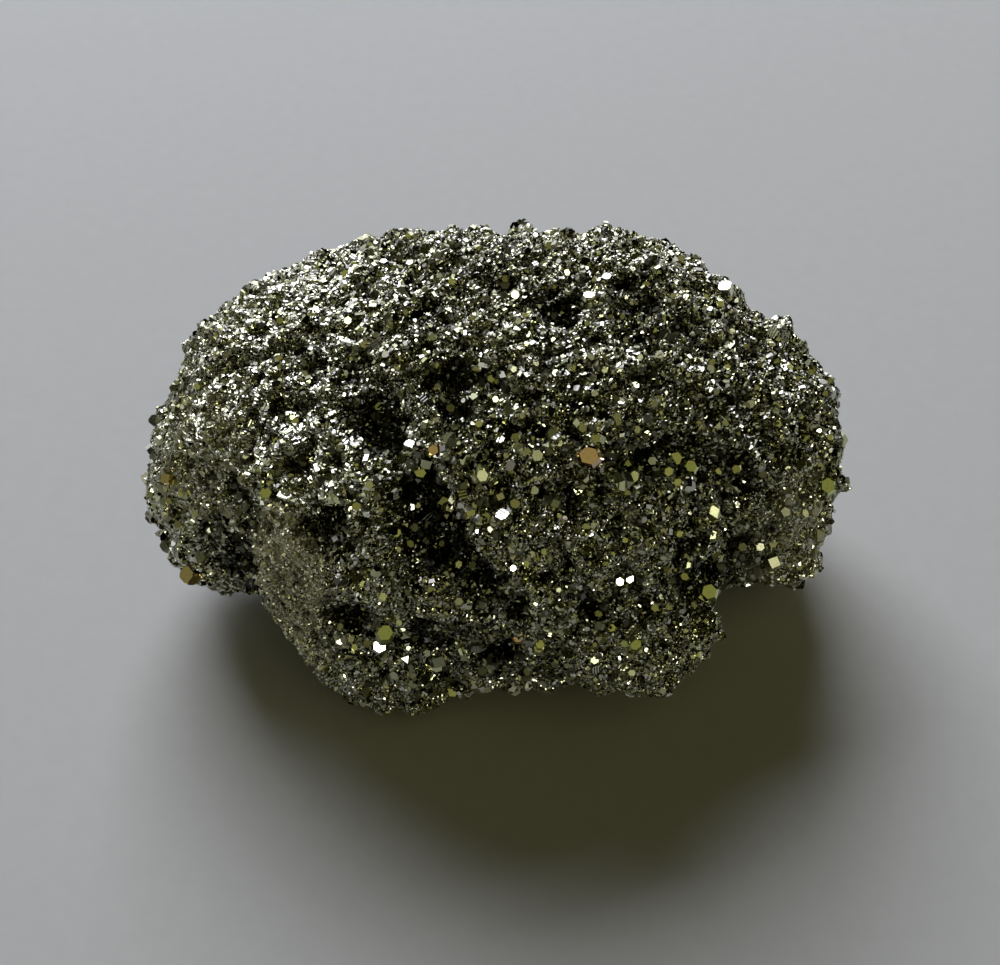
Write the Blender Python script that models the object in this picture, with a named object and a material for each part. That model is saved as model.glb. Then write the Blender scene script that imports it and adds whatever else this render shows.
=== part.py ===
"""Pyrite specimen: a loaf-shaped lump of small pyrite crystals that grew together, broken off flat below.

Metres, +Z up. +X runs along the lump and -Y is its front. The lump stands on its flat broken base at
z = 0, and the origin is under the middle of its bounding box. Sizes below are in millimetres.
"""

import math

import bmesh
import bpy
import numpy as np
from mathutils import Matrix, Quaternion, Vector

MM = 0.001

# Driving dimensions
LENGTH = 88.0  # of the finished lump along X; the depth and height follow in proportion
HEART = (0.0, 0.0, 21.0)  # every point of the surface can be seen from here in a straight line
FARTHEST = 60.0  # no part of the surface is farther from the heart than this
HALVINGS = 24  # of that distance, which finds the skin to a few millionths of a millimetre
SKIN_DETAIL = 5  # subdivisions of the icosahedron that carries the skin: 5120 triangles

# The lobes that the lump swelled into as it grew: their middle and their reach along X, Y and Z
LOBES = {
    "main dome": ((0.0, 4.0, 24.0), (34.0, 27.0, 25.0)),
    "left crown": ((-13.0, 9.5, 30.0), (18.0, 17.0, 17.5)),
    "right crown": ((13.0, 10.0, 30.0), (18.0, 17.0, 18.5)),
    "left shoulder": ((-26.0, 6.0, 25.5), (15.1, 18.2, 18.8)),
    "right shoulder": ((21.0, 7.0, 24.0), (15.0, 17.0, 17.5)),
    "brow": ((-2.0, -9.0, 26.0), (27.0, 15.5, 16.5)),
    "left knob": ((-36.5, 1.5, 17.5), (8.5, 12.0, 14.5)),
    "left flank": ((-19.2, -8.0, 15.0), (10.8, 12.0, 13.0)),
    "right knob": ((34.0, 5.5, 18.4), (9.7, 15.5, 17.8)),
    "nose": ((15.8, -18.5, 17.0), (9.8, 8.5, 9.0)),
    "chin": ((3.0, -14.5, 12.5), (12.0, 8.5, 7.5)),
    "front foot": ((-13.0, -14.0, 8.5), (11.0, 10.5, 9.5)),
    "back ledge": ((3.0, 21.0, 20.0), (29.0, 12.5, 18.0)),
    "root": ((-1.0, 3.0, 9.0), (26.0, 20.0, 14.5)),
}
LOBE_BLEND = 2.0  # how softly one lobe runs into the next

# The hollows between the lobes: their middle and their reach along X, Y and Z
PITS = {
    "crest slit": ((-0.4, 6.2, 50.2), (3.0, 1.7, 3.2)),
    "crest pit": ((5.6, 3.0, 49.9), (2.2, 2.6, 3.4)),
    "crest hole": ((9.4, -2.4, 49.2), (2.8, 1.9, 2.9)),
    "right crest pit": ((16.4, 4.8, 49.4), (2.6, 3.4, 3.2)),
    "upper pit": ((-6.6, -7.6, 47.6), (4.0, 2.4, 3.8)),
    "left pit": ((-13.6, -11.6, 45.4), (3.6, 3.8, 5.0)),
    "great hollow": ((-9.2, -21.0, 38.2), (3.6, 6.6, 5.0)),
    "hollow step": ((-6.2, -22.6, 33.6), (3.2, 5.0, 3.8)),
    "hollow tail": ((-2.4, -24.6, 29.9), (2.8, 4.2, 3.2)),
    "hollow lip": ((-2.2, -19.4, 42.0), (2.2, 2.6, 2.4)),
    "left eye": ((-31.2, -12.2, 32.8), (2.2, 3.6, 3.2)),
    "long pit": ((-20.6, -19.8, 34.6), (4.4, 4.0, 2.2)),
    "flank pit": ((-18.4, -24.2, 22.8), (3.2, 5.0, 3.4)),
    "brow pit": ((1.2, -27.4, 27.4), (2.8, 5.2, 2.8)),
    "nose pit": ((10.4, -26.2, 27.0), (2.5, 4.2, 2.5)),
    "chin pit": ((-0.8, -27.0, 18.0), (3.0, 5.2, 3.2)),
    "under brow": ((-8.0, -27.6, 21.8), (10.5, 6.0, 3.2)),
    "right eye": ((26.6, -11.4, 36.6), (2.4, 3.8, 3.0)),
    "right pit": ((22.6, -18.8, 29.8), (3.2, 3.0, 2.4)),
    "right cleft": ((24.6, -19.4, 26.0), (3.2, 3.2, 6.0)),
    "left cleft": ((-32.4, -12.6, 21.4), (2.8, 5.0, 6.0)),
    "back hollow": ((-9.0, 36.6, 26.0), (6.0, 4.6, 5.4)),
    "back pit": ((14.0, 35.8, 33.0), (4.4, 4.4, 3.4)),
}
PIT_BLEND = 0.8

# Ledges run round the lump one over another, lumps the size of a pea cover it, and a grain roughens it
LEDGE_RISE = 5.6
LEDGE_DEPTH = 0.7
LEDGES_END = 43.0  # the height at which the ledges fade out on the top
LUMP_DEPTH = 0.75
GRAIN_DEPTH = 0.45

# Crystals large enough to stand out of the skin: across, and how many follow the spiral
CRYSTAL_SIZES = (1.4, 2.6)
CRYSTALS = 190
CRYSTAL_SINK = 0.15  # the share of its size that a crystal's middle lies under the skin
LOWEST_CRYSTAL = 5.0  # above the base
GOLDEN_TURN = math.pi * (3 - math.sqrt(5))
GOLDEN_SHARE = (math.sqrt(5) - 1) / 2  # steps of this share of 1, wrapped round, never fall into a pattern

# The largest crystals of the front: a place near the skin, the size across and the habit
NAMED_CRYSTALS = {
    "copper cube": ((9.1, -14.7, 41.9), 1.9, "cube"),
    "small copper cube": ((-7.3, -14.9, 42.6), 1.5, "cube"),
    "white cube": ((0.6, -20.1, 38.8), 1.8, "pyritohedron"),
    "brass disc": ((-13.0, -22.0, 16.8), 2.0, "pyritohedron"),
    "green cube": ((-12.1, -23.8, 22.7), 2.4, "cube"),
    "brown octahedron": ((2.2, -24.9, 21.6), 2.2, "octahedron"),
    "crest crystal": ((27.6, 12.1, 42.1), 2.4, "cube"),
    "left amber": ((-39.7, -4.8, 26.7), 2.2, "octahedron"),
    "corner amber": ((-37.9, -7.4, 10.6), 2.6, "cube"),
    "right olive": ((39.8, -4.4, 25.7), 2.2, "cube"),
    "upper striped cube": ((12.1, 5.3, 49.0), 2.2, "cube"),
    "under grey": ((35.7, -9.5, 14.2), 2.6, "octahedron"),
}


def ellipsoid_distance(points, middle, reach):
    """The distance of each point from an ellipsoid's skin, measured towards its middle, negative inside."""
    away = points - np.array(middle)
    spans = np.linalg.norm(away / np.array(reach), axis=-1)
    return np.linalg.norm(away, axis=-1) * (1 - 1 / np.maximum(spans, 1e-6))


def soft_least(values, blend):
    """The least of several values, rounded where two of them are nearly equal."""
    least = values.min(axis=0)
    return least - blend * np.log(np.exp((least - values) / blend).sum(axis=0))


def lump_distance(points):
    """Negative inside the lobes and outside the pits."""
    lobes = np.stack([ellipsoid_distance(points, *lobe) for lobe in LOBES.values()])
    lump = soft_least(lobes, LOBE_BLEND)
    for pit in PITS.values():
        lump = -soft_least(np.stack([-lump, ellipsoid_distance(points, *pit)]), PIT_BLEND)
    return lump


def skin_radius(directions):
    """How far the smooth skin is from the heart in each direction, by halving the stretch that holds it."""
    near = np.zeros(len(directions))
    far = np.full(len(directions), FARTHEST)
    for _ in range(HALVINGS):
        middle = (near + far) / 2
        inside = lump_distance(HEART + directions * middle[:, None]) < 0
        near = np.where(inside, middle, near)
        far = np.where(inside, far, middle)
    return (near + far) / 2


def ledges(points):
    """Rounded steps that wander as they run round the lump, break off, and fade out on its top."""
    x, y, z = points.T
    wander = 2.6 * np.sin(x / 6.0 + 0.6) + 1.7 * np.sin(y / 4.6 - x / 11.0)
    strength = 0.6 + 0.4 * np.sin(x / 4.3 - z / 6.1)
    steepness = 1 / (1 + np.exp((z - LEDGES_END) / 2.5))
    return LEDGE_DEPTH * strength * steepness * np.sin(2 * math.pi * (z + wander) / LEDGE_RISE)


def lumps(points):
    """Low swellings about 8 mm apart, from waves that cross one another at odd angles."""
    x, y, z = points.T
    waves = np.sin(x / 1.9 + 0.9 * np.sin(y / 3.1)) * np.sin(y / 1.7 + 0.8 * np.sin(z / 2.7))
    waves += np.sin(z / 1.5 + x / 3.7 + 1.1 * np.sin(y / 4.3))
    return LUMP_DEPTH * waves / 2


def grain(count):
    """An uneven push for each vertex that never repeats along the list."""
    steps = np.mod(np.arange(count) * GOLDEN_SHARE, 1.0)
    return GRAIN_DEPTH * (2 * steps - 1)


def skin():
    """Vertices and faces of the lump's rough skin, cut off flat at z = 0."""
    ball = bmesh.new()
    bmesh.ops.create_icosphere(ball, subdivisions=SKIN_DETAIL, radius=1.0)
    directions = np.array([vertex.co.normalized() for vertex in ball.verts])
    smooth = HEART + directions * skin_radius(directions)[:, None]
    rough = ledges(smooth) + lumps(smooth) + grain(len(smooth))
    for vertex, place, direction, push in zip(ball.verts, smooth, directions, rough):
        vertex.co = Vector(place + direction * push)
    everything = ball.verts[:] + ball.edges[:] + ball.faces[:]
    bmesh.ops.bisect_plane(ball, geom=everything, plane_co=(0, 0, 0), plane_no=(0, 0, -1), clear_outer=True)
    rim = [edge for edge in ball.edges if edge.is_boundary]
    bmesh.ops.holes_fill(ball, edges=rim)
    bmesh.ops.triangulate(ball, faces=ball.faces[:])
    bmesh.ops.recalc_face_normals(ball, faces=ball.faces[:])
    return ball


def cyclic(*corner):
    """A corner and the two that come from it by moving its coordinates round."""
    a, b, c = corner
    return [(a, b, c), (c, a, b), (b, c, a)]


def habit_corners(habit):
    """The corners of one crystal habit, each within about 1 of the middle."""
    signs = (-1, 1)
    if habit == "octahedron":
        return [corner for a in signs for corner in cyclic(1.3 * a, 0, 0)]
    cube = [(a, b, c) for a in signs for b in signs for c in signs]
    if habit == "cube":
        return [tuple(0.8 * value for value in corner) for corner in cube]
    roofs = [corner for a in signs for b in signs for corner in cyclic(0, 1.5 * a, 0.75 * b)]
    return [tuple(0.7 * value for value in corner) for corner in cube + roofs]


def crystal(habit, size, place, turn):
    """A closed crystal of one habit, its size across, standing at a place and turned by a quaternion."""
    mesh = bmesh.new()
    for corner in habit_corners(habit):
        mesh.verts.new(corner)
    hull = bmesh.ops.convex_hull(mesh, input=mesh.verts)
    bmesh.ops.delete(mesh, geom=hull["geom_unused"], context="VERTS")
    bmesh.ops.recalc_face_normals(mesh, faces=mesh.faces[:])
    stand = Matrix.Translation(place) @ turn.to_matrix().to_4x4() @ Matrix.Scale(size / 2, 4)
    bmesh.ops.transform(mesh, matrix=stand, verts=mesh.verts)
    return mesh


def crystal_turn(number):
    """A different attitude for each crystal, from its number."""
    lean = Quaternion((1, 0, 0), number * 1.7)
    return Quaternion((0, 0, 1), number * GOLDEN_TURN) @ lean


def spiral_directions(count):
    """Directions spread evenly over a sphere along a golden-angle spiral."""
    number = np.arange(count)
    height = 1 - (2 * number + 1) / count
    across = np.sqrt(1 - height**2)
    angle = number * GOLDEN_TURN
    return np.stack([across * np.cos(angle), across * np.sin(angle), height], axis=1)


def crystals():
    """The named crystals, then those of the spiral whose place is well above the base."""
    named = list(NAMED_CRYSTALS.values())
    aims = np.array([place for place, _, _ in named]) - HEART
    aims /= np.linalg.norm(aims, axis=1, keepdims=True)
    sizes = [size for _, size, _ in named]
    habits = [habit for _, _, habit in named]
    smallest, largest = CRYSTAL_SIZES
    for number in range(CRYSTALS):
        share = (number * GOLDEN_SHARE) % 1.0
        sizes.append(smallest + (largest - smallest) * share**2)
        habits.append(("cube", "octahedron", "pyritohedron")[number % 3])
    directions = np.concatenate([aims, spiral_directions(CRYSTALS)])
    smooth = HEART + directions * skin_radius(directions)[:, None]
    rough = ledges(smooth) + lumps(smooth)
    made = []
    for number, (size, habit) in enumerate(zip(sizes, habits)):
        place = smooth[number] + directions[number] * (rough[number] - CRYSTAL_SINK * size)
        if place[2] > LOWEST_CRYSTAL:
            made.append(crystal(habit, size, Vector(place), crystal_turn(number)))
    return made


def settle(meshes):
    """Brings all the meshes to LENGTH and metres, with the origin under the middle of their box."""
    corners = np.array([vertex.co for mesh in meshes for vertex in mesh.verts])
    low, high = corners.min(axis=0), corners.max(axis=0)
    middle = (low + high) / 2
    scale = MM * LENGTH / (high[0] - low[0])
    shift = Matrix.Translation((-middle[0], -middle[1], 0.0))
    for mesh in meshes:
        bmesh.ops.transform(mesh, matrix=Matrix.Scale(scale, 4) @ shift, verts=mesh.verts)


def as_object(mesh, name, collection, material):
    data = bpy.data.meshes.new(name)
    mesh.to_mesh(data)
    mesh.free()
    data.materials.append(material)
    thing = bpy.data.objects.new(name, data)
    collection.objects.link(thing)
    return thing


def pyrite_material():
    """Olive brass with a metal's shine."""
    material = bpy.data.materials.new("pyrite")
    material.use_nodes = True
    shader = material.node_tree.nodes["Principled BSDF"]
    shader.inputs["Base Color"].default_value = (0.36, 0.35, 0.21, 1.0)
    shader.inputs["Metallic"].default_value = 1.0
    shader.inputs["Roughness"].default_value = 0.3
    return material


def main():
    for thing in list(bpy.data.objects):
        bpy.data.objects.remove(thing)
    scene = bpy.context.scene.collection
    pyrite = pyrite_material()
    meshes = [skin(), *crystals()]
    settle(meshes)
    specimen = as_object(meshes[0], "pyrite_specimen", scene, pyrite)
    crust = bpy.data.collections.new("crystals")
    crust.hide_render = True
    scene.children.link(crust)
    for number, mesh in enumerate(meshes[1:]):
        grown = as_object(mesh, f"crystal_{number:03d}", crust, pyrite)
        grown.hide_render = True
        grown.display_type = "WIRE"
    grow = specimen.modifiers.new("grow together", "BOOLEAN")
    grow.operation = "UNION"
    grow.operand_type = "COLLECTION"
    grow.collection = crust
    grow.solver = "EXACT"


main()
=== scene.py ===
# %% [markdown]
# # A pyrite specimen
# A lump of pyrite the size of a palm. It is thousands of small crystals, each a metal mirror with flat
# faces, that grew through one another until they hid the mass below them. Its look has two halves: shape,
# because every face throws the light its own way, and finish, because pyrite is a metal the colour of
# olive brass. This notebook grows the crust over the finished model of the lump, the frame.

# %% The frame and its box
import math

import bmesh
import bpy
import numpy as np
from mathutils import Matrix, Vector


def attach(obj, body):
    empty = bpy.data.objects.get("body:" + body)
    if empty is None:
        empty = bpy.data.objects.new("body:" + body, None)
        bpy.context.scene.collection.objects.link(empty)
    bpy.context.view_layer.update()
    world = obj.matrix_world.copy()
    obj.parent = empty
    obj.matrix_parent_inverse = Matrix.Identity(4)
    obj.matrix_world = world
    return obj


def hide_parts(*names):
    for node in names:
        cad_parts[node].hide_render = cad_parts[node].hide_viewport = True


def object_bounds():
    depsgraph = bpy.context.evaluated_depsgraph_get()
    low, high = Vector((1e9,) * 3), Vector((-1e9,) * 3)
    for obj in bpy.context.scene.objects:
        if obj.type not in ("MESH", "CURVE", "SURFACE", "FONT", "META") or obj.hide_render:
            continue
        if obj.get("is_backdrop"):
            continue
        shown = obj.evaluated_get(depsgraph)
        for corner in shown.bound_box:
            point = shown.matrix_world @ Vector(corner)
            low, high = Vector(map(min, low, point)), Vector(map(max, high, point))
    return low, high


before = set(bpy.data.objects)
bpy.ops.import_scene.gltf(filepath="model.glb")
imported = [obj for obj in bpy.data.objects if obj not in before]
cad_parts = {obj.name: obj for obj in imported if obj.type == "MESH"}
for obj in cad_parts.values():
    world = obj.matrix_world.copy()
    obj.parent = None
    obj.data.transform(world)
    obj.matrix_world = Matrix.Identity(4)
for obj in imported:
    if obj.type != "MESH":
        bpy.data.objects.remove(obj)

MM = 0.001  # shapes are worked out in millimetres and brought to metres as they become meshes
CLEARANCE = 0.03  # mm kept free inside the frame's box on every side but the base
cad_low, cad_high = (np.array(corner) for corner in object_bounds())
room_low = (cad_low / MM + CLEARANCE) * (1, 1, 0)
room_high = cad_high / MM - CLEARANCE
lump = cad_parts["pyrite_specimen"]
print("the lump is", np.round((cad_high - cad_low) / MM, 1), "mm")

# %% [markdown]
# ## Camera
# The eye is close above the front: 50 degrees up, on the middle of the lump, with a lens a little longer
# than normal. Three numbers give the place, so the camera is worked out from them and not typed in.

# %% The camera
ELEVATION = math.radians(50)
DISTANCE = 170.0  # mm from the eye to what it looks at
AIM = np.array([0.5, -3.0, 20.3])
towards_eye = np.array([0.0, -math.cos(ELEVATION), math.sin(ELEVATION)])
lens = bpy.data.cameras.new("eye")
lens.lens = 50
lens.sensor_width = 36
lens.clip_start = 10 * MM
eye = bpy.data.objects.new("eye", lens)
eye.location = (AIM + DISTANCE * towards_eye) * MM
eye.rotation_euler = (math.pi / 2 - ELEVATION, 0, 0)
bpy.context.scene.collection.objects.link(eye)
bpy.context.scene.camera = eye
print("camera at", np.round(np.array(eye.location) / MM), "mm")

# %% [markdown]
# ## Meshes from arrays
# Every piece here is worked out with numpy as one array of points and one of triangles. Writing the
# arrays straight into a mesh is hundreds of times faster than adding faces one by one, which matters when
# a piece has a hundred thousand of them. Numbers that belong to a point, such as a crystal's own tone, go
# in beside them, and so does a map that gives each face a place of its own when the finish is baked.

# %% A helper that turns arrays into a piece
def make_piece(name, points, triangles, material, places=None, **values):
    """An object from points in mm and rows of three corner numbers, with named values for each point and,
    where places is given, two map coordinates for each corner of each triangle."""
    mesh = bpy.data.meshes.new(name)
    mesh.vertices.add(len(points))
    mesh.vertices.foreach_set("co", (points * MM).astype(np.float32).ravel())
    mesh.loops.add(triangles.size)
    mesh.loops.foreach_set("vertex_index", np.ascontiguousarray(triangles, np.int32).ravel())
    mesh.polygons.add(len(triangles))
    mesh.polygons.foreach_set("loop_start", np.arange(0, triangles.size, 3, dtype=np.int32))
    for key, value in values.items():
        vector = value.ndim == 2
        layer = mesh.attributes.new(key, "FLOAT_VECTOR" if vector else "FLOAT", "POINT")
        layer.data.foreach_set("vector" if vector else "value", value.astype(np.float32).ravel())
    if places is not None:
        chart = mesh.uv_layers.new(name="OFBake")
        chart.uv.foreach_set("vector", places.astype(np.float32).ravel())
    mesh.update(calc_edges=True)
    mesh.shade_flat()
    mesh.materials.append(material)
    piece = bpy.data.objects.new(name, mesh)
    bpy.context.scene.collection.objects.link(piece)
    print(f"{name}: {len(triangles)} triangles")
    return piece

# %% [markdown]
# ## A ball of directions
# The lump has no handles or caves, so every point of its skin is seen from one place inside it, its heart.
# Such a skin is one number, the distance from the heart, for each direction. A ball with lines of latitude
# would crowd its poles, so the ball here is a cube blown up: six square grids whose edges are then joined.

# %% The ball
def ball_of_directions(count):
    """Six grids on a cube's sides: (1, tan a, tan b) turned to each side and brought to length 1, for a and
    b from -45 to 45 degrees in equal steps. Points that two sides share are made one. The map sets the six
    squares side by side, three to a row."""
    steps = np.tan(np.linspace(-math.pi / 4, math.pi / 4, count + 1))
    a, b = np.meshgrid(steps, steps, indexing="ij")
    out = np.ones_like(a)
    sides = [(out, a, b), (-out, b, a), (b, out, a), (a, -out, b), (a, b, out), (b, a, -out)]
    points = np.stack([np.stack(side, axis=-1) for side in sides]).reshape(-1, 3)
    points /= np.linalg.norm(points, axis=1, keepdims=True)
    side, row, column = np.indices((6, count + 1, count + 1)) / count
    side = np.round(side * count).astype(int)
    margin = 0.004  # of a square, left free round it on the map
    across = (side % 3 + margin + (1 - 2 * margin) * row) / 3
    up = (side // 3 + margin + (1 - 2 * margin) * column) / 2
    chart = np.stack([across, up], axis=-1).reshape(-1, 2)
    index = np.arange(6 * (count + 1) ** 2).reshape(6, count + 1, count + 1)
    corners = [index[:, :-1, :-1], index[:, 1:, :-1], index[:, 1:, 1:], index[:, :-1, 1:]]
    squares = np.stack(corners, axis=-1).reshape(-1, 4)
    apart = np.concatenate([squares[:, [0, 1, 2]], squares[:, [0, 2, 3]]])
    _, first, joined = np.unique(np.round(points, 6), axis=0, return_index=True, return_inverse=True)
    return points[first], joined.reshape(-1)[apart], chart[apart]

SKIN_SQUARES = 120  # along each side of the cube
directions, skin_triangles, skin_chart = ball_of_directions(SKIN_SQUARES)
print(len(directions), "directions")

# %% [markdown]
# ## The lump's form
# The frame's mesh is faceted. A piece that copied it would show those facets under the crystals, so each
# distance is a mean of the distances of the frame's triangles, with weights that fall off on a bell curve.
# That keeps the lobes, hollows and ledges, and leaves out the facets.

# %% Distances from the heart
HEART = np.array([0.8, -3.4, 20.5])
BELL = 0.040  # the bell curve's width, in radians
SLICE = 2000  # directions worked out at a time, to save memory

frame_points = np.array([vertex.co for vertex in lump.data.vertices])
lump.data.calc_loop_triangles()
frame_corners = np.empty(3 * len(lump.data.loop_triangles), np.int32)
lump.data.loop_triangles.foreach_get("vertices", frame_corners)
frame_corners = frame_points[frame_corners].reshape(-1, 3, 3) / MM - HEART
frame_middles = frame_corners.mean(axis=1)
frame_distances = np.linalg.norm(frame_middles, axis=1)
frame_aims = frame_middles / frame_distances[:, None]
spans = np.cross(frame_corners[:, 1] - frame_corners[:, 0], frame_corners[:, 2] - frame_corners[:, 0])
frame_shares = np.abs((spans * frame_aims).sum(axis=1)) / frame_distances**2

def skin_distance(aims, bell):
    """The mean of the frame triangles' distances, each weighted by the solid angle that it fills and by
    exp((cosine of the angle between the two directions - 1) / bell squared)."""
    means = []
    for start in range(0, len(aims), SLICE):
        cosines = aims[start : start + SLICE].astype(np.float32) @ frame_aims.T.astype(np.float32)
        weights = np.exp((cosines - 1) / bell**2) * frame_shares.astype(np.float32)
        means.append(weights @ frame_distances / weights.sum(axis=1))
    return np.concatenate(means)

smooth_distances = skin_distance(directions, BELL)
smooth_skin = HEART + directions * smooth_distances[:, None]
print("distances from", smooth_distances.min().round(1), "to", smooth_distances.max().round(1), "mm")

# %% [markdown]
# The same mean with a much wider bell gives a lump without its hollows. How far the skin lies below that
# one tells hollows from crests, and the finish paints shade into the hollows, so it needs to know.

# %% How hollow each place is
WIDE_BELL = 0.17
hollowness = skin_distance(directions, WIDE_BELL) - smooth_distances
print("hollows up to", hollowness.max().round(1), "mm deep")

# %% [markdown]
# ## Regions of the lump
# A cluster like this isn't the same all over. Where it grew fast and free its crystals are coarse and stand
# apart, where it was crowded they are as fine as sand, and a side that lay against rock or took a knock is
# matt and grey. Each region is a soft ball: a place on the lump, how far it reaches, and how strong it is.
# Soft edges matter, because a hard one would show as a line across the crust.

# %% Soft steps and soft balls
FULL = 0.55  # a ball has its full strength out to this share of its reach

def step(value, low, high):
    """0 below low, 1 above high, and a smooth cubic rise between."""
    share = np.clip((value - low) / (high - low), 0, 1)
    return share * share * (3 - 2 * share)

def region(points, balls):
    """The largest of the balls' strengths, each falling smoothly from its middle to its reach."""
    found = np.zeros(len(points))
    for middle, reach, strength in balls:
        away = np.linalg.norm((points - middle) / reach, axis=1)
        found = np.maximum(found, strength * (1 - step(away, FULL, 1.0)))
    return found

print("a ball's strength fades over the outer", round(100 * (1 - FULL)), "per cent of its reach")

# %% [markdown]
# The lists below are read off the real lump, going all round it. Along some shoulders the crystals also
# grew in thin level steps, so those ledged places have a list of their own.

# %% Coarse, fine, matt and ledged regions
# Coarse: the front foot, the underside of the right lobe, the left lobe, the right lobe's edge, the middle,
# and the knobs on the right shoulder and at the right lobe's edge.
COARSE = [
    ((-5.0, -25.0, 12.5), (13.5, 9.0, 9.5), 1.0),
    ((35.0, -11.0, 15.0), (11.0, 8.0, 7.5), 0.9),
    ((-39.0, -9.0, 18.0), (8.0, 10.0, 11.0), 0.5),
    ((40.0, 0.0, 28.0), (8.0, 12.0, 10.0), 0.35),
    ((4.0, -17.0, 37.0), (20.0, 10.0, 10.0), 0.35),
    ((33.2, 6.2, 37.2), (3.5, 3.5, 3.5), 1.0),
    ((40.5, -5.5, 28.0), (3.5, 3.5, 3.5), 1.0),
]
FINE = [  # the sandy left flank, two patches on the front, the left shoulder, the crest
    ((-24.0, -20.5, 23.0), (9.0, 9.0, 16.0), 1.0),
    ((10.0, -24.0, 33.0), (12.0, 8.0, 8.0), 0.6),
    ((20.0, -26.0, 17.0), (9.0, 7.0, 7.0), 0.7),
    ((-24.0, -2.0, 39.0), (16.0, 15.0, 12.0), 0.5),
    ((4.0, 5.0, 46.0), (28.0, 13.0, 6.0), 0.35),
]
MATT = [  # the left flank, the right flank, the left side above its lobe
    ((-25.0, -20.0, 22.0), (10.0, 9.0, 17.0), 1.0),
    ((34.0, -10.0, 20.0), (13.0, 10.0, 12.0), 0.6),
    ((-34.0, -11.0, 31.0), (12.0, 13.0, 12.0), 0.45),
]
LEDGED = [  # the left shoulder, the right shoulder, the front of the crest
    ((-23.0, -11.0, 37.0), (17.0, 12.0, 9.0), 1.0),
    ((28.0, -6.0, 37.5), (12.0, 10.0, 7.0), 0.9),
    ((-20.0, 2.0, 44.0), (18.0, 9.0, 7.0), 0.7),
    ((6.0, -6.0, 46.5), (16.0, 6.0, 4.0), 0.5),
]
print(len(COARSE), "coarse,", len(FINE), "fine,", len(MATT), "matt and", len(LEDGED), "ledged regions")

# %% [markdown]
# Some gaps between the crystals go down to black, and here and there a knob of crystals breaks the outline.
# The largest pits are in the frame's form, and these lists add the lesser ones and the knobs. Each is a soft
# ball again, with its depth or height in mm as the strength.

# %% Pits and knobs
PITS = [
    ((1.1, 3.7, 47.0), (1.7, 1.1, 2.0), 1.3),
    ((8.2, 0.5, 46.9), (1.8, 1.4, 2.0), 1.4),
    ((17.2, 2.6, 45.5), (1.4, 1.2, 2.0), 1.2),
    ((11.3, -4.4, 45.8), (1.5, 1.3, 2.0), 1.2),
    ((5.8, -6.7, 46.6), (1.6, 1.3, 2.0), 1.2),
    ((-4.3, -8.9, 44.6), (2.5, 2.0, 2.4), 1.3),
    ((-12.9, -11.8, 41.5), (4.6, 3.4, 3.2), 1.2),
    ((2.7, -26.0, 25.2), (1.8, 2.2, 1.7), 1.5),
    ((-19.0, -19.7, 32.2), (2.2, 2.4, 1.5), 1.4),
    ((-29.3, -12.4, 30.6), (1.6, 2.4, 2.3), 1.4),
    ((-17.1, -23.1, 20.1), (2.3, 2.4, 1.9), 1.7),
    ((10.9, -25.3, 25.0), (1.9, 2.2, 1.9), 1.6),
    ((0.5, -25.2, 16.6), (2.0, 2.4, 1.5), 1.4),
    ((27.8, -11.4, 33.6), (1.6, 2.0, 1.8), 1.3),
    ((35.9, -5.8, 32.9), (1.6, 2.0, 1.8), 1.2),
    ((25.6, -18.8, 21.8), (1.6, 2.2, 1.6), 1.3),
    ((22.7, -18.7, 28.2), (1.8, 2.2, 1.7), 1.1),
    ((-8.5, -26.1, 18.8), (4.5, 2.4, 1.2), 1.0),
    ((40.5, -8.5, 20.5), (4.0, 6.0, 4.5), 1.5),
]
KNOBS = [  # on the right shoulder, twice at the right lobe's edge and at its corner, and below the left lobe
    ((33.4, 6.9, 36.2), (2.4, 2.8, 2.2), 2.4),
    ((40.0, -4.2, 29.8), (2.4, 2.8, 2.2), 1.1),
    ((40.1, -7.2, 26.0), (2.0, 2.2, 1.8), 1.7),
    ((38.5, -10.0, 11.5), (4.5, 4.5, 3.5), 1.7),
    ((-36.5, -12.8, 14.5), (2.6, 2.6, 2.4), 1.5),
]
print(len(PITS), "pits, the deepest", max(deep for _, _, deep in PITS), "mm, and", len(KNOBS), "knobs")

# %% [markdown]
# ## Relief finer than the frame's
# Between the frame's forms and the crystals there is a middle size: knots of crystals 2 to 5 mm across,
# small black hollows, and thin ledges that step down the sides. Waves in many directions, added up, give
# relief with no pattern to it, and the hollows are where such a sum is at its highest. A noise texture in a
# Displace modifier would do as well, but here the form stays in arrays, where later steps can measure it.

# %% Waves
chance = np.random.default_rng(1761)  # the same draws on every run
WAVES = 14  # how many are added up

def waves(points, length, count=WAVES):
    """The sum of sines of one wavelength that run in scattered directions, scaled to a spread of 1."""
    runs = chance.normal(size=(count, 3))
    runs *= 2 * math.pi / length / np.linalg.norm(runs, axis=1, keepdims=True)
    starts = chance.uniform(0, 2 * math.pi, count)
    return np.sin(points @ runs.T + starts).sum(axis=1) / math.sqrt(count / 2)

print(WAVES, "waves to a sum")

# %% [markdown]
# The relief adds the knots and the ledges and takes away the hollows. A ledge is a saw's tooth along the
# height: it comes out evenly and then drops back, and slow waves bend it, so that it doesn't run round the
# lump like a turned groove.

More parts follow.
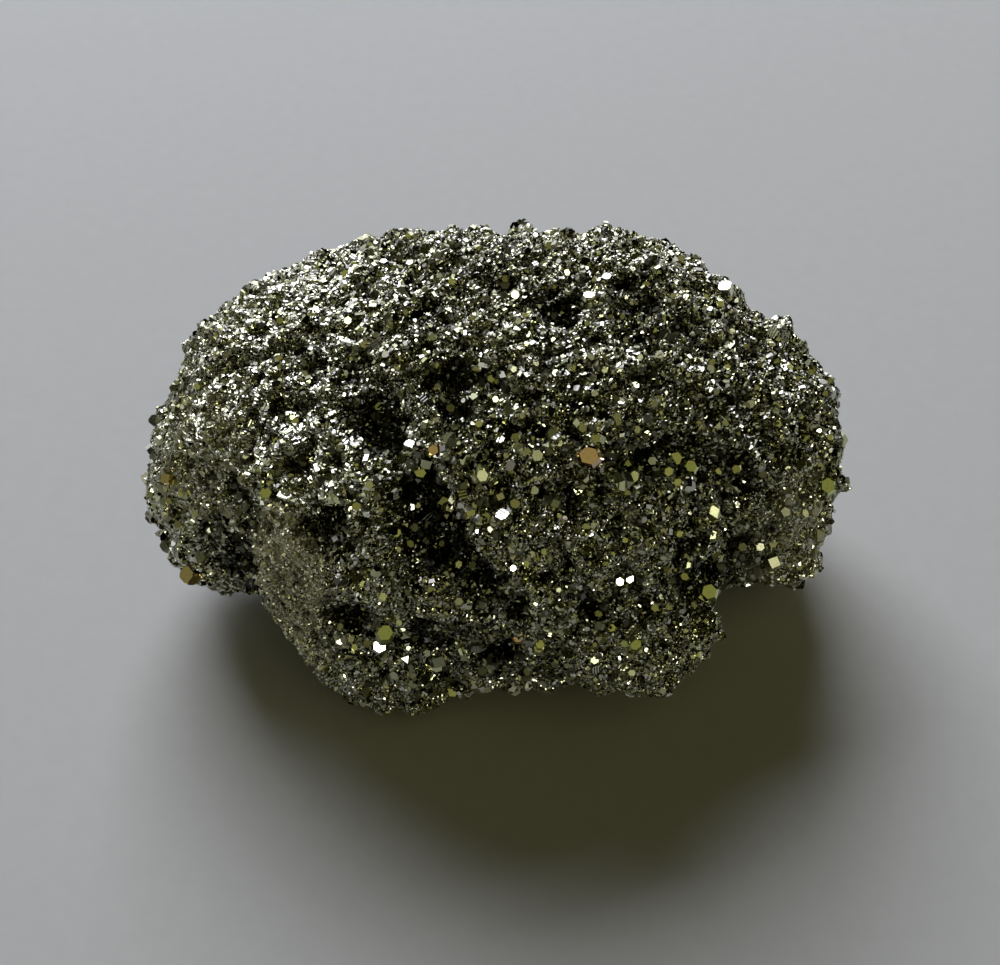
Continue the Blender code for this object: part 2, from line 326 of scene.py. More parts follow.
# %% Knots, hollows and ledges
KNOTS = [(0.24, 7.0), (0.24, 3.6), (0.18, 1.9)]  # height and wavelength in mm
HOLLOWS = [  # depth and wavelength in mm, and the heights of the wave between which the hollow opens
    (1.1, 6.5, 1.2, 2.0),
    (1.0, 3.1, 0.9, 1.7),
    (0.7, 1.8, 0.9, 1.7),
]
LEDGE_RISE = 1.7  # mm from one ledge to the next
LEDGE_OUT = 0.35  # mm that a ledge stands out, and as much again in the ledged regions
LEDGE_BEND = 1.1  # mm that a ledge wanders up and down
LEDGE_DROP = 0.15  # the share of a ledge's rise over which it drops back
INSET = 0.62  # mm, which leaves room below the frame's skin for the crystals

def relief(points):
    """Knots of three sizes, plus ledges and knobs, minus hollows of three sizes where a set of waves peaks,
    or minus the pits where those are deeper, minus the inset. A ledge is the height's share of a rise, faded
    to 0 at the end of the rise, less one half."""
    knots = sum(height * waves(points, length) for height, length in KNOTS)
    hollows = sum(deep * step(waves(points, length), opens, full) for deep, length, opens, full in HOLLOWS)
    wander = LEDGE_BEND * waves(points * (1, 1, 0.3), 15.0)
    tooth = np.mod((points[:, 2] + wander) / LEDGE_RISE, 1.0)
    strength = LEDGE_OUT * step(waves(points, 22.0), -0.6, 0.9) + LEDGE_OUT * region(points, LEDGED)
    ledges = strength * (tooth * step(1 - tooth, 0.0, LEDGE_DROP) - 0.5)
    return knots + ledges + region(points, KNOBS) - np.maximum(hollows, region(points, PITS)) - INSET

BASE_EDGE = 1.6  # the relief fades out over this height above the flat base
above_base = step(smooth_skin[:, 2], 0.0, BASE_EDGE)
rough = relief(smooth_skin) * above_base
print("relief from", rough.min().round(2), "to", rough.max().round(2), "mm")

# %% [markdown]
# Relief stands out at right angles to the skin, so each point needs the direction that its skin faces. That
# is the mean of the triangles round it. A last chance shift breaks the even grid up into small facets.

# %% The surface of the mass
def point_normals(points, triangles):
    """At each point, the mean of its triangles' normals, each as long as its triangle is large."""
    a, b, c = (points[triangles[:, k]] for k in range(3))
    across = np.cross(b - a, c - a)

    def total(axis):
        return sum(np.bincount(triangles[:, k], across[:, axis], len(points)) for k in range(3))

    normals = np.stack([total(axis) for axis in range(3)], axis=1)
    return normals / np.linalg.norm(normals, axis=1, keepdims=True)

JITTER = 0.10  # mm
mass_points = smooth_skin + point_normals(smooth_skin, skin_triangles) * rough[:, None]
mass_points += JITTER * chance.normal(size=mass_points.shape) * above_base[:, None]
mass_points = np.clip(mass_points, room_low, room_high)
print("the mass spans", np.ptp(mass_points, axis=0).round(1), "mm")

# %% [markdown]
# ## Shader maths as Python
# A material made of nodes is hard to read as a list of links. This small class wraps one socket, and adds
# the nodes that an expression such as `1 - mask * 0.5` stands for, so a finish reads like a formula.

# %% The socket class
class Wire:
    """One output of a node tree, with sums written as Python."""

    def __init__(self, tree, socket):
        self.tree = tree
        self.socket = socket

    def node(self, kind, settings=None, output=0, **inputs):
        """Adds a node of a kind, sets it up, then gives its sockets their values or links. A socket is named
        by its words joined with _, or by its number after the letters in."""
        made = self.tree.nodes.new(kind)
        for key, value in (settings or {}).items():
            setattr(made, key, value)
        for key, value in inputs.items():
            socket = made.inputs[int(key[2:]) if key.startswith("in") else key.replace("_", " ")]
            if isinstance(value, Wire):
                self.tree.links.new(value.socket, socket)
            else:
                socket.default_value = value
        return Wire(self.tree, made.outputs[output])

    def math(self, operation, second=0.0):
        """A Math node that works on this number and a second one."""
        return self.node("ShaderNodeMath", {"operation": operation}, in0=self, in1=second)

    def vector(self, operation, second=(0, 0, 0), **inputs):
        """A Vector Math node that works on this vector and a second one."""
        return self.node("ShaderNodeVectorMath", {"operation": operation}, in0=self, in1=second, **inputs)

    def __add__(self, other):
        return self.math("ADD", other)

    def __sub__(self, other):
        return self.math("SUBTRACT", other)

    def __mul__(self, other):
        return self.math("MULTIPLY", other)

    def __rsub__(self, other):
        return self.node("ShaderNodeMath", {"operation": "SUBTRACT"}, in0=other, in1=self)

    __radd__ = __add__
    __rmul__ = __mul__

    def ramp(self, low, high):
        """0 below low and 1 above high, with a smooth rise between."""
        return self.node("ShaderNodeMapRange", {"interpolation_type": "SMOOTHSTEP"},
                         Value=self, From_Min=low, From_Max=high)

    def blend(self, first, second):
        """The first colour where this is 0, the second where it is 1."""
        return self.node("ShaderNodeMix", {"data_type": "RGBA"}, output=2, in0=self, in6=first, in7=second)

    def plug(self, shader, name):
        """Links this to a socket of the shader."""
        self.tree.links.new(self.socket, shader.inputs[name])

# %% [markdown]
# Every finish starts in the same way: a material, its shader, and a wire that carries the place on the
# object. Patterns read that place, and the values that came in with the points are read by name.

# %% Helpers for a finish
def start_material(name):
    """A new material, its Principled shader and a wire that carries the place on the object."""
    material = bpy.data.materials.new(name)
    material.use_nodes = True
    tree = material.node_tree
    place = tree.nodes.new("ShaderNodeTexCoord")
    return material, tree.nodes["Principled BSDF"], Wire(tree, place.outputs["Object"])

def value_of(place, name, output="Fac"):
    """A wire that carries a value stored with the points."""
    return place.node("ShaderNodeAttribute", {"attribute_name": name}, output=output)

# %% [markdown]
# ## The finish of pyrite
# Fresh pyrite mirrors its surroundings in the colour of pale brass. In the air it tarnishes towards olive,
# each crystal a little differently, and matt regions go grey. So the colour is a metal's base colour, picked
# for each crystal from the value `tone` that its points carry, and darkened by its `depth` below its
# neighbours as painted shade of the hollows. The broad faces of the largest crystals are paler and greener.
# Some faces also show fine lines, the striae, which run one way on each crystal: `local` holds each point's
# place in its own crystal, so the lines turn with it. Their dark lines are painted shade of the striae's
# steps.

# %% Pyrite crystals
BRASS = (0.66, 0.65, 0.55, 1)
OLIVE = (0.44, 0.45, 0.27, 1)
MOSS = (0.72, 0.75, 0.42, 1)
DUST = (0.56, 0.54, 0.34, 1)
SOOT_AND_SHADE = (0.02, 0.02, 0.013, 1)
STRIAE = 3.0  # lines to the millimetre
STRIAE_DEEP = 0.03  # mm
SPECK = 0.22  # mm, the size of the specks of dust on a face
OWN_STEP = 7.31
POLISH, DULLEST = 0.06, 0.26  # the roughness of a clean face, and what the most tarnished one adds

def pyrite(name, colours, lines=0.0, tarnish=0.7):
    """A metal between two colours by tone, darker with tarnish and greyer where it is matt, with painted
    shade by depth and along the striae. A second chance number, the tone times a step without its whole part,
    says how tarnished a crystal is."""
    material, shader, place = start_material(name)
    tone = value_of(place, "tone")
    depth = value_of(place, "depth")
    matt = value_of(place, "matt")
    specks = place.node("ShaderNodeTexNoise", Vector=place, Scale=1 / (SPECK * MM), Detail=2.0)
    own = (tone * OWN_STEP).math("FRACT")
    # Each line lays one more colour over those before it, as thickly as its brackets say.
    colour = tone.ramp(0.25, 0.75).blend(*colours)
    colour = (own.ramp(0.35, 1.0) * tarnish).blend(colour, SOOT_AND_SHADE)
    colour = (matt * 0.6).blend(colour, DUST)
    colour = (specks.ramp(0.50, 0.72) * 0.20).blend(colour, SOOT_AND_SHADE)
    # Painted shade: crystals deep below their neighbours go dark, all but a share of them.
    colour = (depth.ramp(0.3, 2.5) * own.ramp(-0.1, 0.6) * 0.93).blend(colour, SOOT_AND_SHADE)
    if lines:
        local = value_of(place, "local", "Vector")
        along = place.node("ShaderNodeSeparateXYZ", Vector=local)
        stripes = (along * (2 * math.pi * STRIAE)).math("SINE") * specks
        # Painted shade along the striae, for the steps that mirror another way.
        colour = (stripes.ramp(0.0, 0.4) * lines).blend(colour, SOOT_AND_SHADE)
        bump = place.node("ShaderNodeBump", Height=stripes, Strength=lines, Distance=STRIAE_DEEP * MM)
        bump.plug(shader, "Normal")
    colour.plug(shader, "Base Color")
    shader.inputs["Metallic"].default_value = 1.0
    (POLISH + own.ramp(0.3, 1.0) * DULLEST + matt * 0.2 + specks * 0.03).plug(shader, "Roughness")
    return material

fine_finish = pyrite("pyrite crystals", (BRASS, OLIVE))
broad_finish = pyrite("broad pyrite faces", (MOSS, OLIVE), tarnish=0.35)
striped_finish = pyrite("pyrite crystals with striae", (BRASS, OLIVE), lines=0.5)
print("striae", 1 / STRIAE, "mm apart")

# %% [markdown]
# ## The finish of the mass
# Between the crystals that stand out, the mass is a jumble of crystals too small to be worth a mesh. A
# Voronoi pattern splits space into cells the size of such crystals. Each cell has a colour of its own,
# which serves twice: it tilts the surface one way over the whole cell, like a face, and it picks a tone.

# %% Pyrite too fine to model
GRAIN = 0.26  # mm, the size of a cell
TILT = 1.2  # how far a cell's face may lean
# The seams are painted shade between the cells.
SHADED_SEAM = 0.10  # of a cell, the width of the dark seam at its edge

def fine_pyrite(name):
    """The same metal cut up into cells: each leans by its own colour less one half, times the tilt, and has
    a tone from it. Seams between cells, and places deep below their neighbours, get painted shade."""
    material, shader, place = start_material(name)
    size = 1 / (GRAIN * MM)
    cell = place.node("ShaderNodeTexVoronoi", output="Color", Vector=place, Scale=size)
    edge = place.node("ShaderNodeTexVoronoi", {"feature": "DISTANCE_TO_EDGE"}, output="Distance",
                      Vector=place, Scale=size)
    lean = cell.vector("SUBTRACT", (0.5, 0.5, 0.5)).vector("SCALE", Scale=TILT)
    face = place.node("ShaderNodeNewGeometry", output="Normal")
    face.vector("ADD", lean).vector("NORMALIZE").plug(shader, "Normal")
    pick = place.node("ShaderNodeSeparateColor", Color=cell)
    depth = value_of(place, "depth")
    matt = value_of(place, "matt")
    colour = pick.ramp(0.25, 0.75).blend(BRASS, OLIVE)
    colour = (matt * 0.7).blend(colour, DUST)
    # Painted shade in the seams between cells.
    colour = (1 - edge.ramp(0.0, SHADED_SEAM)).blend(colour, SOOT_AND_SHADE)
    # Painted shade where the mass lies deep below its neighbours.
    colour = (depth.ramp(-0.4, 1.9) * 0.95).blend(colour, SOOT_AND_SHADE)
    colour.plug(shader, "Base Color")
    shader.inputs["Metallic"].default_value = 1.0
    (0.08 + pick * 0.14 + matt * 0.15).plug(shader, "Roughness")
    return material

mass_finish = fine_pyrite("pyrite mass")
# How deep each point lies below its neighbours, which the finishes turn into painted shade.
depth = (hollowness - rough - INSET) * above_base  # mm below the neighbours
mass = make_piece("pyrite_mass", mass_points, skin_triangles, mass_finish, skin_chart,
                  depth=depth, matt=region(mass_points, MATT))

# %% [markdown]
# ## Crystal habits
# Pyrite grows as cubes, as octahedra, as shapes between the two, and as pyritohedra with five-sided faces.
# Where an octahedron with clipped corners is half buried, what shows is one six-sided face, here the table.
# A crystal a fraction of a millimetre across needs no more than its few flat faces, and it is the many
# thousand together that make the crust, so each habit is a small table of corners from a rule.

# %% Corners and hulls
def cyclic(a, b, c):
    """The three corners that a crystal's threefold symmetry makes of one."""
    return [(a, b, c), (c, a, b), (b, c, a)]

def hull(corners):
    """The corners of a convex shape and the triangles round them, facing out."""
    shape = bmesh.new()
    for corner in corners:
        shape.verts.new(corner)
    bmesh.ops.convex_hull(shape, input=shape.verts)
    bmesh.ops.recalc_face_normals(shape, faces=shape.faces[:])
    bmesh.ops.triangulate(shape, faces=shape.faces[:])
    shape.verts.index_update()
    points = np.array([vertex.co for vertex in shape.verts])
    triangles = np.array([[vertex.index for vertex in face.verts] for face in shape.faces])
    shape.free()
    return points, triangles

print("one corner makes", cyclic(1, 0, 0))

# %% [markdown]
# Each habit follows from a few numbers: the cube has its eight corners, the pyritohedron adds a roof with
# a ridge on each side of the cube, the clipped cube has a small triangle in place of each corner, and the
# table is a six-sided slab that widens downwards.

# %% The habits' corners
SIGNS = (-1, 1)
CUBE = [(a, b, c) for a in SIGNS for b in SIGNS for c in SIGNS]
RING = [(math.cos(k * math.pi / 3), math.sin(k * math.pi / 3)) for k in range(6)]
ROOFS = [corner for a in SIGNS for b in SIGNS for corner in cyclic(0, 1.5 * a, 0.75 * b)]
CLIPPED = [corner for a in SIGNS for b in SIGNS for c in SIGNS for corner in cyclic(0.55 * a, b, c)]
HABITS = {  # all corners, and the factor that makes the habit about 1 across
    "cube": (CUBE, 0.48),
    "octahedron": ([corner for a in SIGNS for corner in cyclic(a, 0, 0)], 0.72),
    "cuboctahedron": ([corner for a in SIGNS for b in SIGNS for corner in cyclic(a, b, 0)], 0.54),
    "clipped cube": (CLIPPED, 0.50),
    "pyritohedron": (CUBE + ROOFS, 0.42),
    "table": ([(a, b, 0.35) for a, b in RING] + [(1.4 * a, 1.4 * b, -0.4) for a, b in RING], 0.40),
}
shapes = {habit: hull(np.array(corners) * factor) for habit, (corners, factor) in HABITS.items()}
print({habit: len(triangles) for habit, (_, triangles) in shapes.items()})

# %% [markdown]
# ## Sowing the crystals
# Crystals are sown over the mass like seed, each at a chance place inside one of its triangles, and more to
# the square millimetre where they are small. The base, where the lump was broken off, gets none.

# %% Places for crystals
corners_of_mass = mass_points[skin_triangles]
first, second, third = (corners_of_mass[:, k] for k in range(3))
areas = np.linalg.norm(np.cross(second - first, third - first), axis=1) / 2
middles = corners_of_mass.mean(axis=1)
COARSER, FINER = 0.6, 0.45  # what the regions add to and take from the typical size
growth = 1 + COARSER * region(middles, COARSE) - FINER * region(middles, FINE)
BROKEN = 0.05  # mm: below this height the mass is the flat base
grows_here = middles[:, 2] > BROKEN
skin_normals = point_normals(mass_points, skin_triangles)
print("the mass has", round(areas.sum()), "square mm of skin,", round(areas[~grows_here].sum()), "of it base")

def sow(count, wanted=1.0):
    """Even steps along the running total of area over growth squared, each moved by chance within its step,
    pick the triangles. Two chance shares, folded back where they pass 1 together, pick the place in each."""
    total = np.cumsum(areas * grows_here * wanted / growth**2)
    seeds = (np.arange(count) + chance.uniform(0, 1, count)) / count * total[-1]
    picked = np.searchsorted(total, seeds)
    share = chance.uniform(0, 1, (count, 2))
    share = np.where(share.sum(axis=1, keepdims=True) > 1, 1 - share, share)
    a, b, c = (corners_of_mass[picked, k] for k in range(3))
    places = a + share[:, :1] * (b - a) + share[:, 1:] * (c - a)
    normals = skin_normals[skin_triangles[picked]].mean(axis=1)
    return places, normals / np.linalg.norm(normals, axis=1, keepdims=True), picked

# %% [markdown]
# ## Turning the crystals
# Most crystals lie at random. Others stood up from the mass as they grew and show one flat face outwards,
# a few degrees off, so whole patches flash together when the light is right. A turn is three arrows at right
# angles, and a crystal's corners are sums of those arrows.

# %% Random and facing turns
def random_turns(count):
    """Turns spread evenly over all there are: unit quaternions from a bell curve, written as matrices."""
    q = chance.normal(size=(count, 4))
    w, x, y, z = (q / np.linalg.norm(q, axis=1, keepdims=True)).T
    rows = [
        [1 - 2 * (y * y + z * z), 2 * (x * y - w * z), 2 * (x * z + w * y)],
        [2 * (x * y + w * z), 1 - 2 * (x * x + z * z), 2 * (y * z - w * x)],
        [2 * (x * z - w * y), 2 * (y * z + w * x), 1 - 2 * (x * x + y * y)],
    ]
    return np.array(rows).transpose(2, 0, 1)

def facing_turns(outwards, scatter):
    """Turns whose third arrow is the given direction plus a chance lean, and whose first two are spun at
    random round it."""
    third = outwards + scatter * chance.normal(size=outwards.shape)
    third /= np.linalg.norm(third, axis=1, keepdims=True)
    first = np.cross(third, chance.normal(size=third.shape))
    first /= np.linalg.norm(first, axis=1, keepdims=True)
    return np.stack([first, np.cross(third, first), third], axis=2)

# %% [markdown]
# Three kinds of crystal turn in three ways. Cubes and their like lie at random but for a share of them.
# Tables always show their flat face outwards, with a wider lean. The plates on the ledges lie level and run
# along the side, which is what draws the ledges as thin bright lines.

# %% Turns for each kind of crystal
STANDING = 0.35  # the share of crystals that show a face outwards
LEAN, TABLE_LEAN, LEVEL_LEAN, LEVEL_DRIFT = 0.22, 0.42, 0.16, 0.15  # how far the arrows wander, to 1 along

def growth_turns(normals):
    """Random turns, with facing ones in place of a share of them."""
    turns = random_turns(len(normals))
    standing = chance.uniform(0, 1, len(normals)) < STANDING
    turns[standing] = facing_turns(normals[standing], LEAN)
    return turns

def table_turns(normals):
    """Facing turns with a wide lean."""
    return facing_turns(normals, TABLE_LEAN)

def level_turns(normals):
    """Turns whose third arrow points up, give or take, and whose first runs level along the lump's side."""
    third = np.array([0.0, 0.0, 1.0]) + LEVEL_LEAN * chance.normal(size=normals.shape)
    third /= np.linalg.norm(third, axis=1, keepdims=True)
    first = np.cross(third, normals + LEVEL_DRIFT * chance.normal(size=normals.shape))
    first /= np.linalg.norm(first, axis=1, keepdims=True)
    return np.stack([first, np.cross(third, first), third], axis=2)

print("tables lean by about", round(math.degrees(math.atan(TABLE_LEAN))), "degrees")

# %% [markdown]
# ## Joining the crystals
# All the crystals of a piece are one array: each crystal's corners are the habit's, stretched a little,
# since real ones are never perfect, then turned and moved. Each crystal gets a cell of its own on the map,
# where its corners are laid out as if seen from a corner, so that no face is seen edge on.

# %% Arrays of crystals
SIGHT_A, SIGHT_B = np.array([0.80, -0.52, 0.30]), np.array([0.25, 0.72, 0.65])  # across and up on the map
UNEVEN = (0.8, 1.2)  # the least and the most that chance stretches a crystal by
CELL_EDGE = 0.08  # of a cell of the map, left free round a crystal

def crystals(habit, places, sizes, turns, stretch=(1, 1, 1)):
    """The habit's corners, times the stretch and the size, turned by the three arrows and moved to the
    place. Gives the points, the triangles, the places in each crystal's own frame, and the map's corners."""
    corners, triangles = shapes[habit]
    count = len(places)
    local = corners * stretch * chance.uniform(*UNEVEN, (count, 1, 3)) * sizes[:, None, None]
    points = local @ turns.transpose(0, 2, 1) + places[:, None]
    joined = triangles[None] + (np.arange(count) * len(corners))[:, None, None]
    seen = np.stack([corners @ SIGHT_A, corners @ SIGHT_B], axis=-1)
    seen = (seen - seen.min(axis=0)) / np.ptp(seen, axis=0)
    per_row = math.ceil(math.sqrt(count))
    cells = np.stack([np.arange(count) % per_row, np.arange(count) // per_row], axis=-1)
    chart = (cells[:, None, None] + CELL_EDGE + (1 - 2 * CELL_EDGE) * seen[triangles][None]) / per_row
    return points.reshape(-1, 3), joined.reshape(-1, 3), local.reshape(-1, 3), chart.reshape(-1, 2)

print("a map cell's crystal fills", round(100 * (1 - 2 * CELL_EDGE)), "per cent of its width")

# %% [markdown]
# A piece of crust is then four steps: sow the places, draw the sizes, turn the crystals, and join them. Real
# sizes vary by shares, so that twice as large is as likely as half as large, and a bell curve of the size's
# logarithm gives just that.

# %% A piece of crust
SMALLEST = 0.16  # mm

def grow(name, habit, count, typical, spread, largest, finish,
         sunk=0.05, turned=growth_turns, stretch=(1, 1, 1), wanted=1.0):
    """A piece of count crystals of one habit. Sizes are the typical size times the region's growth times
    exp(spread times a draw from a bell curve), and each crystal is sunk by a share of its size."""
    places, normals, picked = sow(count, wanted)
    sizes = typical * growth[picked] * np.exp(spread * chance.normal(size=count))
    sizes = np.clip(sizes, SMALLEST, largest)
    places = places - normals * (sunk * sizes)[:, None]
    points, triangles, local, chart = crystals(habit, places, sizes, turned(normals), stretch)
    points = np.clip(points, room_low, room_high)
    each = len(shapes[habit][0])
    return make_piece(name, points, triangles, finish, chart, local=local,
                      tone=np.repeat(chance.uniform(0, 1, count), each),
                      depth=np.repeat(depth[skin_triangles[picked, 0]], each),
                      matt=np.repeat(region(places, MATT), each))

# %% [markdown]
# ## The crust
# Small crystals make the glitter, and larger ones of the fuller habits stand among them. Tables are the most
# common, because they are what a half-buried octahedron shows. The numbers keep each piece under 200,000
# triangles and all of them together under a million.

# %% The crust's pieces
CRUST = {  # piece: habit, how many, typical size in mm
    "small_tables": ("table", 9900, 0.44),
    "tables": ("table", 9900, 0.70),
    "small_cubes": ("cube", 6000, 0.30),
    "small_octahedra": ("octahedron", 9500, 0.34),
    "cuboctahedra": ("cuboctahedron", 2200, 0.46),
    "pyritohedra": ("pyritohedron", 800, 0.58),
}
LARGE = {  # the octahedron's faces are plain, and those of the cube and the pyritohedron have striae
    "large_tables": ("table", 3000, 1.12, broad_finish),
    "large_cuboctahedra": ("cuboctahedron", 300, 0.85, broad_finish),
    "large_cubes": ("clipped cube", 200, 0.85, striped_finish),
    "large_pyritohedra": ("pyritohedron", 150, 0.90, striped_finish),
}
SPREAD, LARGE_SPREAD = 0.30, 0.18
LARGEST_SMALL, LARGEST = 1.5, 2.1
LARGE_SUNK = 0.15
PLATES, PLATE_SIZE, PLATE_LARGEST, PLATE_STRETCH = 7000, 0.27, 0.6, (1.7, 1.0, 0.6)

def turned_for(habit):
    """The way in which the crystals of a habit turn."""
    return table_turns if habit == "table" else growth_turns

crust = [grow(name, habit, count, typical, SPREAD, LARGEST_SMALL, fine_finish, turned=turned_for(habit))
         for name, (habit, count, typical) in CRUST.items()]
crust += [grow(name, habit, count, typical, LARGE_SPREAD, LARGEST, finish,
               sunk=LARGE_SUNK, turned=turned_for(habit))
          for name, (habit, count, typical, finish) in LARGE.items()]
crust.append(grow("ledge_plates", "cube", PLATES, PLATE_SIZE, SPREAD, PLATE_LARGEST, fine_finish,
                  turned=level_turns, stretch=PLATE_STRETCH, wanted=region(middles, LEDGED)))
print(len(crust), "pieces of crust")

# %% [markdown]
# ## Discs that face the board
# Among the dark faces of the front there are clean round ones in pale olive. They are thin tables that happen
# to mirror the broad warm board in front of the lump. Chance would give too few of them, so this piece turns
# its crystals on purpose. A mirror sends light from a lamp to the eye when it faces halfway between the two.

# %% Discs that face the board
BOARD_GLOW = (-0.12, -0.45, 0.90)  # towards a part of the board away from the lamp
EYE_LEAN = 0.12  # how far a disc may lean away, to 1 along
DISCS, DISC_SIZE, DISC_SPREAD, DISC_LARGEST = 420, 0.95, 0.25, 1.6
DISC_SUNK = -0.1  # below 0, so the discs stand out

def halfway(light, places):
    """For each place, the direction a mirror looks in to send light from there to the eye: the sum of the
    two directions of length 1, brought to length 1."""
    to_eye = np.array(eye.location) / MM - places
    between = np.array(light) / np.linalg.norm(light) + to_eye / np.linalg.norm(to_eye, axis=1, keepdims=True)
    return between / np.linalg.norm(between, axis=1, keepdims=True)

glow = halfway(BOARD_GLOW, AIM[None])

def glow_turns(normals):
    """Facing turns that all look halfway between the board and the eye."""
    return facing_turns(np.tile(glow, (len(normals), 1)), EYE_LEAN)

faces_board = step(skin_normals[skin_triangles].mean(axis=1) @ glow[0], 0.45, 0.85)
crust.append(grow("bright_discs", "table", DISCS, DISC_SIZE, DISC_SPREAD, DISC_LARGEST, broad_finish,
                  sunk=DISC_SUNK, turned=glow_turns, wanted=faces_board))
print("the discs face", glow[0].round(2))

# %% [markdown]
# ## The crystals that catch the eye
# A few crystals stand out by colour or by flash: coppery ones on the front, amber ones on the left lobe,
# green ones round the front, pale and striped ones that send the window's light straight to the eye, and
# sparks low down that do so with the lamp's. Each has a place, a size, and a light that its face mirrors.

# %% The list of standout crystals
WINDOW_FROM = (-0.25, 0.83, 0.79)  # the directions that the light comes from
LAMP_FROM = (0.25, -0.62, 0.80)
SIDE_FROM = (-0.95, -0.25, 0.45)
COPPER = (0.92, 0.66, 0.48, 1)
AMBER = (0.76, 0.62, 0.24, 1)
GREEN = (0.60, 0.66, 0.33, 1)
PALE = (0.74, 0.73, 0.60, 1)
STANDOUTS = {  # piece: colour, striae, habit, the light it mirrors, then places and sizes in mm
    "copper_crystals": (COPPER, 0.0, "table", BOARD_GLOW,
                        [((9.0, -17.4, 41.3), 2.3), ((-7.2, -17.3, 41.7), 1.5), ((2.2, -27.0, 20.4), 1.6)]),
    "amber_crystals": (AMBER, 0.0, "clipped cube", SIDE_FROM,
                       [((-38.6, -8.8, 27.7), 1.4), ((-37.6, -12.4, 14.4), 1.8)]),
    "green_crystals": (GREEN, 0.0, "table", BOARD_GLOW,
                       [((-12.2, -25.2, 20.5), 2.2), ((38.5, -8.8, 27.1), 1.9), ((-25.6, -15.3, 33.7), 1.5),
                        ((21.7, -15.0, 36.7), 1.9), ((15.0, -28.0, 22.0), 1.5), ((23.9, -20.0, 21.5), 1.9),
                        ((-8.2, -17.8, 38.2), 1.5)]),
    "pale_crystals": (PALE, 0.0, "clipped cube", WINDOW_FROM,
                      [((26.7, 7.6, 42.2), 1.5), ((12.0, 2.6, 47.8), 1.0), ((14.1, -15.8, 40.7), 0.8),
                       ((-27.7, -13.1, 33.8), 0.9)]),
    "striped_crystals": (PALE, 0.7, "clipped cube", WINDOW_FROM,
                         [((0.6, -22.6, 38.1), 1.3), ((10.6, 1.7, 47.8), 1.1), ((11.0, -16.4, 41.4), 1.0),
                          ((-8.8, -16.2, 42.2), 0.9), ((0.8, -16.2, 42.3), 1.1)]),
    "spark_crystals": (PALE, 0.0, "table", LAMP_FROM,
                       [((-12.7, -25.6, 17.9), 1.7), ((36.0, -11.5, 14.5), 1.4), ((14.2, -25.3, 28.5), 1.2),
                        ((15.6, -24.7, 28.5), 1.3), ((2.2, -24.5, 32.0), 0.9)]),
}
print(sum(len(wanted) for *_, wanted in STANDOUTS.values()), "crystals stand out")

# %% [markdown]
# A place on the list may be a little off the rough skin, so each crystal takes the nearest point of the mass
# as seen from the heart, and stands on it with its lower part buried.

# %% Standout crystals
LIFT = 0.42  # of its size, the height of a crystal's middle above the mass
AIM_SCATTER = 0.012  # how far the face that mirrors a light may be off

def stand_out(name, colour, lines, habit, light, wanted):
    """Crystals seated on the mass in the wanted directions from the heart, one face set to mirror a light."""
    aims = np.array([place for place, _ in wanted]) - HEART
    aims /= np.linalg.norm(aims, axis=1, keepdims=True)
    seats = (directions @ aims.T).argmax(axis=0)
    sizes = np.array([size for _, size in wanted])
    places = mass_points[seats] + skin_normals[seats] * (LIFT * sizes)[:, None]
    turns = facing_turns(halfway(light, places), AIM_SCATTER)
    points, triangles, local, chart = crystals(habit, places, sizes, turns)
    points = np.clip(points, room_low, room_high)
    finish = pyrite(name.replace("_", " "), (colour, colour), lines)
    none = np.zeros(len(points))  # no tone of its own, not deep, not matt
    return make_piece(name, points, triangles, finish, chart, local=local, tone=none, depth=none, matt=none)

standouts = [stand_out(name, *wanted) for name, wanted in STANDOUTS.items()]

# %% [markdown]
# ## Floor
# A plain pale floor takes the shadow and lends the lower faces something light to mirror. Two triangles are
# enough for it, and its grain is so faint that nothing on it draws the eye. It belongs to the stage and not
# to the object.

# %% The floor
FLOOR_GREY, FLOOR_PALE = (0.51, 0.51, 0.49, 1), (0.55, 0.55, 0.53, 1)
FLOOR_GRAIN = 2.5  # mm

def floor_finish():
    """A matt surface between two pale greys that lie close together, by fine noise."""
    material, shader, place = start_material("pale floor")
    grain = place.node("ShaderNodeTexNoise", Vector=place, Scale=1 / (FLOOR_GRAIN * MM), Detail=2.0)
    grain.blend(FLOOR_GREY, FLOOR_PALE).plug(shader, "Base Color")
    shader.inputs["Roughness"].default_value = 0.9
    return material

FLOOR = 4000.0  # mm from the middle to an edge
square = np.array([(-1, -1, 0), (1, -1, 0), (1, 1, 0), (-1, 1, 0)]) * FLOOR
floor = make_piece("floor", square, np.array([[0, 1, 2], [0, 2, 3]]), floor_finish())
floor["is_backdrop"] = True

# %% [markdown]
# ## Light
# Metal shows only what it mirrors, and a matt floor shows only what falls on it. An area light can leave out
# the one or the other, so here the two are lit apart:
# - A large window behind the lump and a little to the left lights the floor and gives the soft shadow.
# - The metal mirrors a dimmer copy of it, so that its glints keep some colour. The copy hangs a little
#   nearer, because of two panels in one place the first would hide the second.
# - The walls beside and below the window, which its light washes over, are what the top and the back mirror.
# - A dim panel at the left does the same for the left lobe.
# - A wide warm board over the front gives the faces that look at the eye their olive mid-tones, and the
#   shadow its tint. It is the only panel besides the window that lights the floor.
# - A small lamp high in front adds sparks low on the front.
# All else is nearly black, because it is the black faces between that make glitter.

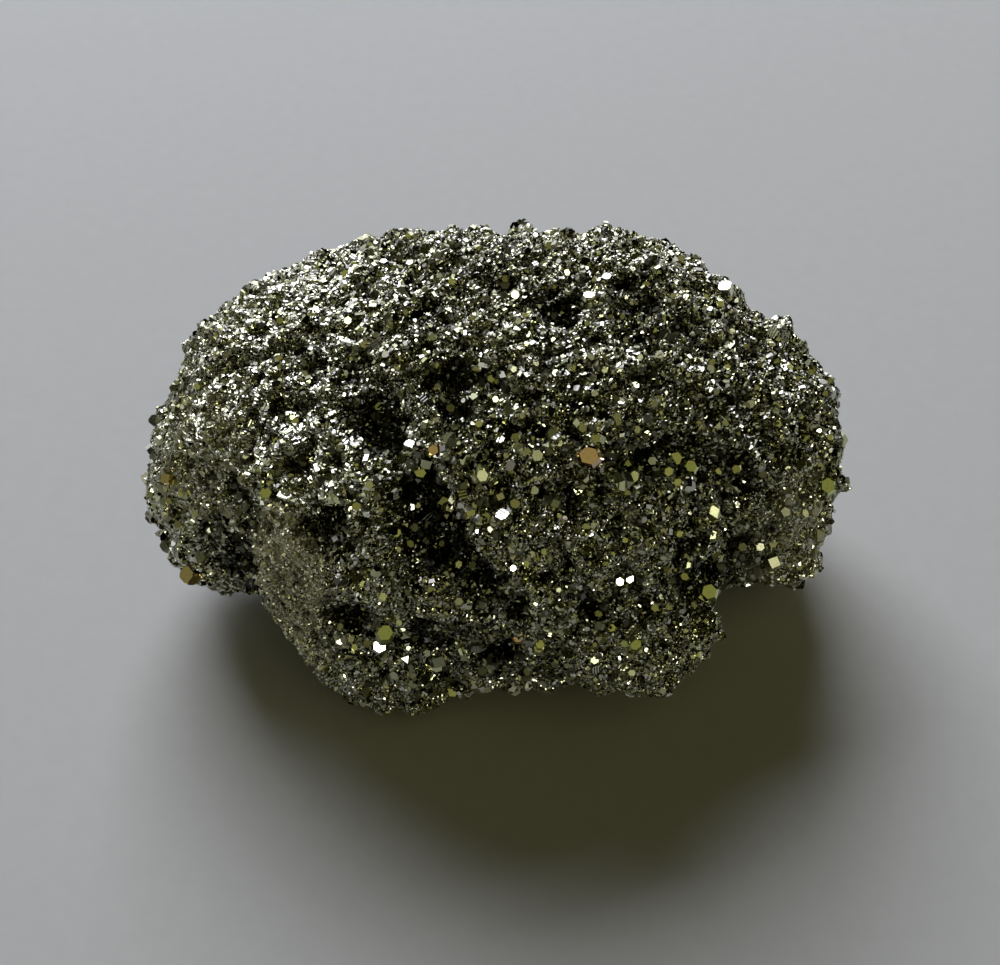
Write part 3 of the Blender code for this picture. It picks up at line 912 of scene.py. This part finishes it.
# %% A panel of light
def panel(name, come_from, distance, size, power, colour, on_matt=True, in_metal=True):
    """An area light that looks at the lump: distance and size in mm, power in watts. It may leave out what is
    matt, such as the floor, or what mirrors, which is the metal."""
    light = bpy.data.lights.new(name, "AREA")
    light.shape = "RECTANGLE"
    light.size, light.size_y = (length * MM for length in size)
    light.energy = power
    light.color = colour
    lamp = bpy.data.objects.new(name, light)
    lamp.location = np.array(come_from) / np.linalg.norm(come_from) * distance * MM
    lamp.rotation_euler = Vector(come_from).to_track_quat("Z", "Y").to_euler()
    lamp.visible_diffuse = on_matt
    lamp.visible_glossy = in_metal
    bpy.context.scene.collection.objects.link(lamp)
    print(f"{name}: {power} W at {distance} mm")
    return lamp

WINDOW_SIZE = (1100, 850)
COOL = (1.0, 1.0, 1.12)  # the colour of the walls in daylight
panel("window", WINDOW_FROM, 1500, WINDOW_SIZE, 24.0, (0.97, 1.0, 1.10), in_metal=False)
panel("window in the metal", WINDOW_FROM, 1480, WINDOW_SIZE, 12.0, (0.96, 1.0, 1.20), on_matt=False)
panel("wall", (-0.50, 0.72, 0.78), 1800, (2700, 1800), 13.6, COOL, on_matt=False)
panel("far wall", (-0.10, 1.0, 0.25), 2000, (3600, 900), 21.0, COOL, on_matt=False)
panel("side", SIDE_FROM, 1500, (1600, 1200), 1.1, (1.0, 0.98, 0.80), on_matt=False)
panel("board", (0.28, -0.58, 0.84), 900, (1100, 800), 0.72, (1.0, 0.94, 0.40))
panel("lamp", LAMP_FROM, 800, (220, 150), 0.85, (1.0, 0.99, 0.92), on_matt=False)

# %% [markdown]
# The room itself is a world of one colour, warm and almost black. It keeps the deepest faces from going to
# pure black without filling them in. The plain view transform leaves the panels' colours as they were set.

# %% The room
ROOM_COLOUR, ROOM_STRENGTH = (1.0, 0.97, 0.75, 1), 0.0015
room = bpy.data.worlds.new("room")
room.use_nodes = True
room.node_tree.nodes["Background"].inputs["Color"].default_value = ROOM_COLOUR
room.node_tree.nodes["Background"].inputs["Strength"].default_value = ROOM_STRENGTH
bpy.context.scene.world = room
bpy.context.scene.view_settings.view_transform = "Standard"

# %% [markdown]
# ## Joining the pieces to the lump
# The frame's solid gives the lump its weight and its collision, and the mass and the crust stand in for its
# looks. All of them are one grown thing, so they ride together on the one body. Last, the box round the
# pieces is measured against the frame's, to see that no crystal sticks out of it.

# %% Riding on the lump
for piece in [mass, *crust, *standouts]:
    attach(piece, "root")
    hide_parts("pyrite_specimen")
low, high = (np.array(corner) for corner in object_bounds())
spare_low, spare_high = (low - cad_low) / MM, (cad_high - high) / MM
print("room left inside the frame's box", spare_low.round(2), spare_high.round(2), "mm")
